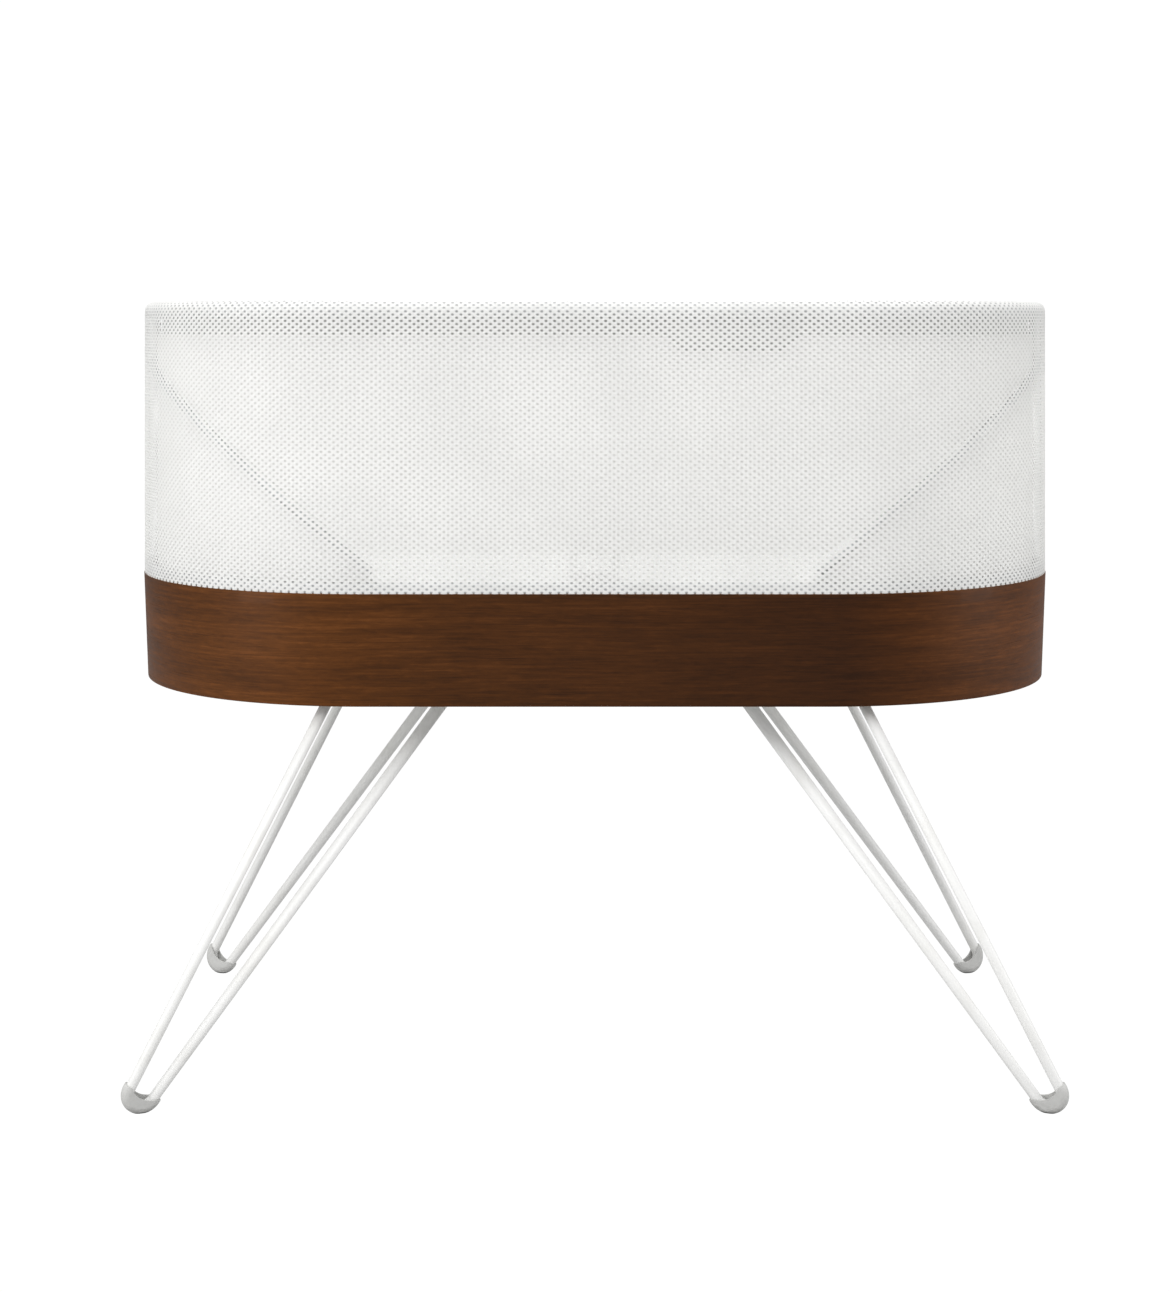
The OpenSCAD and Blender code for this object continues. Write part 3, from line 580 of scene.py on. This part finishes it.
finishes = {
    "walnut_veneer": walnut("walnut_veneer"),
    "white_board": painted("white_board", linear(238, 238, 235), 0.5, 0.25),
    "zinc_steel": metal("zinc_steel", linear(196, 199, 204), 0.34, spangle=0.35),
    "white_powder_coat": painted("white_powder_coat", linear(223, 223, 222)),
    "grey_foot": cup_grey("grey_foot"),
    "sole_rubber": moulded("sole_rubber", linear(96, 96, 95), 0.8, 0.9, linear(118, 116, 112)),
    "rim_aluminium": metal("rim_aluminium", linear(206, 207, 208), 0.46, (0.05, 0.05, 1.0)),
    "white_plastic": moulded("white_plastic", linear(240, 240, 238), 0.48, 0.35),
    "air_mesh": knit("air_mesh"),
    "lining_cloth": woven("lining_cloth", linear(234, 234, 232), linear(226, 226, 224), 0.7 * MM, 0.3),
    "cast_aluminium": metal("cast_aluminium", linear(178, 180, 184), 0.42, (1.0, 1.0, 0.05)),
    "bearing_steel": metal("bearing_steel", linear(206, 208, 212), 0.14, (0.2, 1.0, 1.0)),
    "black_plastic": moulded("black_plastic", linear(44, 44, 46), 0.52, 0.5, linear(62, 62, 64)),
    "bronze": metal("bronze", linear(190, 148, 84), 0.38, (1.0, 1.0, 0.1)),
    "mattress_cover": quilted("mattress_cover"),
    "sheet_cotton": woven("sheet_cotton", linear(240, 240, 238), linear(232, 232, 230), 0.62 * MM, 0.12),
    "motor_black": painted("motor_black", linear(52, 53, 56), 0.5, 0.9),
    "belt_rubber": moulded("belt_rubber", linear(34, 34, 36), 0.74, 0.8, linear(58, 57, 56)),
    "circuit_board": circuit("circuit_board"),
    "speaker_paper": moulded("speaker_paper", linear(40, 40, 42), 0.85, 1.0, linear(58, 56, 54)),
    "satin_trim": metal("satin_trim", linear(190, 191, 193), 0.3, (0.05, 1.0, 1.0)),
    "light_diffuser": diffuser("light_diffuser"),
    "button_white": moulded("button_white", linear(242, 242, 241), 0.32, 0.2),
}


def dress(made, slot_name, body="base", *stands_for):
    """Gives a new piece its finish, its body and the nodes that it stands for."""
    made.data.materials.clear()
    made.data.materials.append(finishes[slot_name].material)
    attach(made, body)
    if stands_for:
        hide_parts(*stands_for)
    return made


# ---- The frame's own pieces ----

LEGS = ["leg_front_left", "leg_front_right", "leg_rear_left", "leg_rear_right"]
FACETED = [*LEGS, "hoop_left", "hoop_right", "motor_lead"]
WELD_GAP = 0.02 * MM


def finish_frame():
    """Every node of the frame takes its slot's finish, and rods made of flat facets are smoothed."""
    for part in frame["record"]["subparts"]:
        mesh = nodes[part["node"]].data
        mesh.materials.clear()
        mesh.materials.append(finishes[part["material_slot"]].material)
    for name in FACETED:
        rod = nodes[name]
        bpy.context.view_layer.objects.active = rod
        bpy.ops.mesh.customdata_custom_splitnormals_clear()
        rod.data.shade_smooth()
        weld = rod.modifiers.new("weld", "WELD")
        weld.merge_threshold = WELD_GAP


# ---- The walnut band ----


def walnut_band():
    low, top = band_low.z, band_high.z
    bottom_r = WALL_R - BAND_TAPER
    corners = [(bottom_r - BAND_T, low), (bottom_r, low), (WALL_R, top), (WALL_R - BAND_T, top)]
    along = stops(-LOOP / 2, LOOP / 2, 0.03, 0.006)
    band = loft("walnut_band", along, rounded(corners, ARRIS), ring=True, loop=True)
    bpy.ops.mesh.primitive_cylinder_add(
        vertices=96,
        radius=bezel_high.x - BEZEL_LIP,
        depth=4 * BAND_T,
        location=(0, WALL_R - BAND_T / 2, (bezel_low.z + bezel_high.z) / 2),
        rotation=(math.pi / 2, 0, 0),
    )
    drill = bpy.context.active_object
    bore = band.modifiers.new("bore", "BOOLEAN")
    bore.operation, bore.solver, bore.object = "DIFFERENCE", "EXACT", drill
    settle(band)
    bpy.data.objects.remove(drill)
    return dress(sharpen(band, 30), "walnut_veneer", "base", "wood_band")


# ---- The mesh wall ----


def wall_path(length):
    """Where the cloth runs: up the wall, over the rim tube and down inside it. Gives the distance
    out, the height, and the direction that the cloth faces."""
    over = WALL_R - CLOTH_INSET - RIM_C
    straight = RIM_Z - wall_low.z
    turn = np.clip((length - straight) / over, 0, math.pi)
    down = np.clip(length - straight - math.pi * over, 0, None)
    out = RIM_C + over * np.cos(turn)
    up = np.minimum(wall_low.z + length, RIM_Z) + over * np.sin(turn) - down
    return out, up, np.cos(turn), np.sin(turn)


def mesh_panel(name, middle):
    """Half of the wall, centred on a length along it: a net of six-sided holes in staggered rows."""
    over = WALL_R - CLOTH_INSET - RIM_C
    height = RIM_Z - wall_low.z + math.pi * over + HEM_DROP
    columns = round(LOOP / 2 / HOLE_PITCH)
    pitch = LOOP / 2 / columns
    rows = math.ceil((height + TUCK) / HOLE_ROW)
    column, row = np.meshgrid(np.arange(columns), np.arange(rows))
    centre_s = middle + (column - columns / 2 + 0.25 + 0.5 * (row % 2)) * pitch
    centre_t = row * HOLE_ROW - TUCK
    a, b = HOLE_HALF_W, HOLE_HALF_H
    ds = np.array([a, a / 2, -a / 2, -a, -a / 2, a / 2])
    dt = np.array([0, b, b, 0, -b, -b])
    raised = np.array([-0.5, 1, 1, -0.5, 1, 1]) * KNIT_RELIEF / 2
    s = centre_s[..., None] + ds
    t = centre_t[..., None] + dt
    s[:, 0] = np.maximum(s[:, 0], middle - LOOP / 4)
    s[:, -1] = np.minimum(s[:, -1], middle + LOOP / 4)
    out, up, face_out, face_up = wall_path(t)
    wrapped = (s + LOOP / 2) % LOOP - LOOP / 2
    points = on_oval(wrapped, out + raised * face_out, up + raised * face_up)

    def corner(c, r, k):
        return (r * columns + c) * 6 + k

    faces = []
    for r in range(rows):
        odd = r % 2
        for c in range(columns):
            right, left = c + odd, c + odd - 1
            at = [corner(c, r, k) for k in range(6)]
            above, below, higher = r + 1 < rows, r > 0, r + 2 < rows
            if higher:
                faces.append((at[2], at[1], corner(c, r + 2, 5), corner(c, r + 2, 4)))
            if above and right < columns:
                faces.append((at[0], corner(right, r + 1, 4), corner(right, r + 1, 3), at[1]))
            if above and left >= 0:
                faces.append((at[3], at[2], corner(left, r + 1, 0), corner(left, r + 1, 5)))
            if above and below and right < columns:
                faces.append((at[0], corner(right, r - 1, 2), corner(right, r + 1, 4)))
            if above and below and left >= 0:
                faces.append((at[3], corner(left, r + 1, 5), corner(left, r - 1, 1)))
    flat = np.stack([s.ravel(), t.ravel()], axis=-1)
    lay = flat[np.concatenate([np.array(face) for face in faces])]
    return piece(name, points, faces, lay), height


def net_area(made):
    """The cloth's own area, the holes left out."""
    return sum(face.area for face in made.data.polygons)


def mesh_wall():
    panels = []
    for name, middle in (("mesh_front", 0.0), ("mesh_rear", LOOP / 2)):
        panel, height = mesh_panel(name, middle)
        panels.append(dress(panel, "air_mesh", "base", "mesh_wall"))
    over = WALL_R - CLOTH_INSET - RIM_C
    hem_r = RIM_C - over
    hem_z = RIM_Z - HEM_DROP
    # A grey binding tape inside the rim, from just under the lining's top to above the hem. Its grey is
    # painted shade: it darkens what shows through the holes of the hem strip.
    tape_stops = stops(-LOOP / 2, LOOP / 2, 0.006)
    tape_low, tape_high = lining_top(tape_stops) - TAPE_UNDER_LINING, hem_z + TAPE_OVER_HEM
    tape = []
    for k in range(TAPE_OUTLINE):
        turn = math.tau * k / TAPE_OUTLINE
        end = tape_low + TAPE_EDGE_R if math.sin(turn) < 0 else tape_high - TAPE_EDGE_R
        tape.append((hem_r + TAPE_R * math.cos(turn), end + TAPE_EDGE_R * math.sin(turn)))
    shade_tape = loft("hem_shade_tape", tape_stops, tape, ring=True, loop=True)
    dress(shade_tape, "grey_foot")
    for name, middle in (("seam_right", QUARTER), ("seam_left", -QUARTER)):
        length = np.linspace(0.5 * MM, height - SEAM_SHORT, 90)
        out, up, face_out, face_up = wall_path(length)
        rows = []
        across = np.linspace(-SEAM_HALF_W, SEAM_HALF_W, 7)
        crown = (1 - (across / (SEAM_HALF_W + 0.3 * MM)) ** 4) * SEAM_CROWN
        for o, z, fo, fz in zip(out, up, face_out, face_up):
            rows.append((o + crown * fo, z + crown * fz))
        seam = loft(name, middle + across, rows)
        dress(seam, "sheet_cotton")
    for panel in panels:
        height + TUCK


# ---- The linings ----


def hoop_height(along, out):
    """The height of the slanting hoop at a length along the wall."""
    x, nx, _ = station(along)
    return hoop_low.z + (np.abs(x + nx * out) - hoop_low.x) * HOOP_RISE


def lining_top(along):
    """The lining's upper edge, which dips in front beside the middle."""
    x = station(along)[0]
    into = np.clip((x - NOTCH_FROM + NOTCH_RAMP) / NOTCH_RAMP, 0, 1)
    back = np.clip((NOTCH_TO + NOTCH_RAMP - x) / NOTCH_RAMP, 0, 1)
    dip = into * back
    dip = dip * dip * (3 - 2 * dip) * (np.abs(along) < RUN)
    return liner_high.z - LINING_DROP - NOTCH_DEPTH * dip


def lining(name, along, low, high, out, loop=False):
    """A sheet of lining cloth between two edges, a little slack, with a turned hem at each edge."""
    rows = []
    shares = np.concatenate([[0, 0.02, 0.06], np.linspace(0.12, 0.88, 14), [0.94, 0.98, 1]])
    tall = high - low
    for share in shares:
        up = low + tall * share
        edge = np.minimum(share, 1 - share) * tall
        spots = [Vector((a * 9, u * 7, out * 40)) for a, u in zip(along, up)]
        slack = np.array([noise.noise(spot) for spot in spots])
        if loop:
            ends = np.clip((LOOP / 2 - np.abs(along)) / 0.05, 0, 1)
            slack = slack * ends
        belly = np.clip(edge / 0.03, 0, 1) * slack * LINING_SLACK
        rows.append((out + belly - np.where(edge < HEM_DEPTH, HEM_TURN, 0.0), up))
    return loft(name, along, rows, loop=loop)


def linings():
    out = (liner_high.y - liner_low.y) / 2 - LINING_INSET
    along = stops(-LOOP / 2, LOOP / 2, 0.006, 0.006)
    hoop = hoop_height(along, out)
    low = np.maximum(liner_low.z, hoop + HOOP_GAP)
    high = lining_top(along)
    upper = lining("lining_upper", along, low, high, out, loop=True)
    dress(upper, "lining_cloth", "base", "inner_liner")
    ends = []
    floor_edge = band_high.z + LINING_FLOOR
    for side, name in ((1, "lining_right"), (-1, "lining_left")):
        reach = stops(RUN * 0.5, LOOP / 2 - RUN * 0.5, 0.004, 0.006)
        top = hoop_height(reach, out) - HOOP_GAP
        clear = top > floor_edge + 3 * MM
        reach, top = reach[clear], top[clear]
        if side < 0:
            reach, top = -reach[::-1], top[::-1]
        bottom = np.full_like(reach, floor_edge)
        ends.append(dress(lining(name, reach, bottom, top, out), "lining_cloth"))
    for cloth in [upper, *ends]:
        area = net_area(cloth)
        heights = [v.co.z for v in cloth.data.vertices]
        tall = max(heights) - min(heights)
        width = LOOP if cloth is upper else QUARTER * 2
        width = min(width, area / 0.35 / tall)


# ---- The mattress and its sheet ----


def oval_pad(name, out, low, high, edge, columns=96, rings=20):
    """A closed oval pad with round edges, made of rings that shrink towards the middle line."""
    rise = (high - low) / 2
    outline = []
    for k in range(9):
        turn = math.pi * (k / 8 - 0.5)
        outline.append((out - edge + edge * math.cos(turn), (low + high) / 2 + rise * math.sin(turn)))
    inner = [((out - edge) * (1 - (k + 1) / rings), high) for k in range(rings - 1)]
    under = [(o, low) for o, _ in reversed(inner)]
    along = stops(-LOOP / 2, LOOP / 2, 0.02, ROUND / columns)
    pad = loft(name, along, [*under, *outline, *inner], loop=True)
    mesh = bmesh.new()
    mesh.from_mesh(pad.data)
    bmesh.ops.holes_fill(mesh, edges=[e for e in mesh.edges if e.is_boundary])
    bmesh.ops.recalc_face_normals(mesh, faces=mesh.faces)
    mesh.to_mesh(pad.data)
    mesh.free()
    return pad


def remeshed(made, voxel):
    cut = made.modifiers.new("even", "REMESH")
    cut.mode, cut.voxel_size = "VOXEL", voxel
    return settle(made)


def swell(made, pressure, cap, last=20):
    """Fills the piece with air by cloth simulation. No point moves further than the cap."""
    before = np.array([v.co for v in made.data.vertices])
    cloth = made.modifiers.new("swell", "CLOTH")
    cloth.settings.use_pressure = True
    cloth.settings.uniform_pressure_force = pressure
    cloth.settings.effector_weights.gravity = 0
    cloth.settings.quality = 5
    cloth.point_cache.frame_start, cloth.point_cache.frame_end = 1, last
    for step in range(1, last + 1):
        bpy.context.scene.frame_set(step)
    settle(made)
    bpy.context.scene.frame_set(1)
    after = np.array([v.co for v in made.data.vertices])
    move = after - before
    far = np.linalg.norm(move, axis=1, keepdims=True)
    after = before + move * np.minimum(1, cap / np.maximum(far, 1e-9))
    made.data.vertices.foreach_set("co", after.astype(np.float32).ravel())
    made.data.update()
    return made


def from_middle(points):
    """How far points lie from the oval's middle line, and the direction out from it."""
    x = points[:, 0]
    axis = np.clip(x, -RUN, RUN)
    out = np.stack([x - axis, points[:, 1]], axis=1)
    far = np.linalg.norm(out, axis=1)
    return far, out / np.maximum(far, 1e-9)[:, None], axis


def moved(made, change):
    """Moves every point of a piece by a function of the points and normals."""
    points = np.array([v.co for v in made.data.vertices])
    normals = np.array([v.normal for v in made.data.vertices])
    made.data.vertices.foreach_set("co", change(points, normals).astype(np.float32).ravel())
    made.data.update()
    return made


def bedding():
    pad_r = pad_high.y
    low, high = pad_low.z + 1 * MM, pad_high.z - 2 * MM
    pad = oval_pad("mattress_pad", pad_r - 2 * MM, low, high, PAD_EDGE)
    pad = remeshed(pad, PAD_VOXEL)
    pad = swell(pad, 4.0, PAD_SWELL)

    def held_in(points, _):
        far, out, axis = from_middle(points)
        keep = np.minimum(far, pad_r)
        points[:, 0], points[:, 1] = axis + out[:, 0] * keep, out[:, 1] * keep
        points[:, 2] = np.clip(points[:, 2], pad_low.z, pad_high.z + PAD_CROWN)
        return points

    pad = moved(pad, held_in)
    pad.data.shade_smooth()
    dress(pad, "mattress_cover", "platform", "mattress")

    cover = bpy.data.objects.new("cotton_sheet", pad.data.copy())
    bpy.context.scene.collection.objects.link(cover)
    mesh = bmesh.new()
    mesh.from_mesh(cover.data)
    centres = np.array([face.calc_center_median() for face in mesh.faces])
    inside = from_middle(centres)[0] < pad_r - SHEET_TUCK
    under = [face for face, deep in zip(mesh.faces, inside) if deep and face.normal.z < -0.5]
    bmesh.ops.delete(mesh, geom=under, context="FACES")
    mesh.to_mesh(cover.data)
    mesh.free()
    soft = cover.modifiers.new("soft", "SUBSURF")
    soft.levels = 1
    settle(cover)

    def drawn_over(points, normals):
        far = from_middle(points)[0]
        broad = [Vector((x * 5, y * 9, 0.3)) for x, y, _ in points]
        fine = [Vector((x * 46 + y * 46, 0, z * 30)) for x, y, z in points]
        fold = np.clip([noise.fractal(spot, 1.0, 2.0, 3) for spot in broad], -1, 1)
        ruck = np.array([noise.noise(spot) for spot in fine])
        side = np.clip((far - pad_r + SHEET_SIDE) / SHEET_SIDE, 0, 1)
        lift = SHEET_LIFT + 0.35 * MM * fold * (1 - side) + 0.3 * MM * ruck * side
        lift = np.clip(lift, 0.4 * MM, None)
        return points + normals * lift[:, None]

    moved(cover, drawn_over)
    cover.data.shade_smooth()
    dress(cover, "sheet_cotton", "platform", "fitted_sheet")


# ---- Camera, light and floor ----


def add_light(name, place, aim, size, watts):
    lamp = bpy.data.lights.new(name, "AREA")
    lamp.shape, lamp.size, lamp.size_y, lamp.energy = "RECTANGLE", size[0], size[1], watts
    made = bpy.data.objects.new(name, lamp)
    made.location = place
    made.rotation_euler = (Vector(aim) - Vector(place)).to_track_quat("-Z", "Y").to_euler()
    bpy.context.scene.collection.objects.link(made)
    return made


def studio():
    scene = bpy.context.scene
    scene.view_settings.view_transform = "Standard"
    eye = bpy.data.cameras.new("eye")
    eye.lens, eye.sensor_width = EYE_LENS, 36
    eye.shift_x, eye.shift_y = EYE_SHIFT
    camera = bpy.data.objects.new("eye", eye)
    camera.location = EYE_AT
    camera.rotation_euler = (math.pi / 2, 0, 0)
    scene.collection.objects.link(camera)
    scene.camera = camera

    middle = (0, 0, 0.5)
    add_light("soft_front", (-0.5, -2.6, 2.9), middle, (3.0, 2.0), 81)
    add_light("soft_left", (-2.6, -1.7, 1.1), middle, (1.0, 1.8), 32)
    add_light("soft_right", (2.8, -0.5, 1.1), middle, (1.0, 1.8), 26)
    add_light("soft_top", (0, 0.6, 3.2), middle, (3.0, 2.4), 50)

    world = bpy.data.worlds.new("room")
    scene.world = world
    world.use_nodes = True
    tree = world.node_tree
    tree.nodes.clear()
    out = tree.nodes.new("ShaderNodeOutputWorld")
    mixed = tree.nodes.new("ShaderNodeMixShader")
    ray = tree.nodes.new("ShaderNodeLightPath")
    tree.links.new(ray.outputs["Is Camera Ray"], mixed.inputs[0])
    for slot_at, strength in ((1, ROOM_GLOW), (2, BACKDROP_GLOW)):
        glow = tree.nodes.new("ShaderNodeBackground")
        glow.inputs["Color"].default_value = (1, 1, 1, 1)
        glow.inputs["Strength"].default_value = strength
        tree.links.new(glow.outputs[0], mixed.inputs[slot_at])
    tree.links.new(mixed.outputs[0], out.inputs[0])

    bpy.ops.mesh.primitive_circle_add(vertices=96, radius=FLOOR_R, fill_type="NGON")
    floor = bpy.context.active_object
    floor.name = "studio_floor"
    pale = Finish("studio_floor", Roughness=0.9, Specular_IOR_Level=0.1)
    pale.set(Base_Color=linear(192, 192, 192))
    seen = pale.node("LightPath", output="Is Camera Ray")
    white = pale.node("Emission", {"Color": (1, 1, 1, 1), "Strength": FLOOR_GLOW})
    mixed = pale.node("MixShader", [seen, Value(pale, pale.shader.outputs[0]), white])
    pale.tree.links.new(mixed.socket, pale.out.inputs[0])
    pale.material.cycles.emission_sampling = "NONE"
    floor.data.materials.append(pale.material)


studio()
finish_frame()
walnut_band()
mesh_wall()
linings()
bedding()
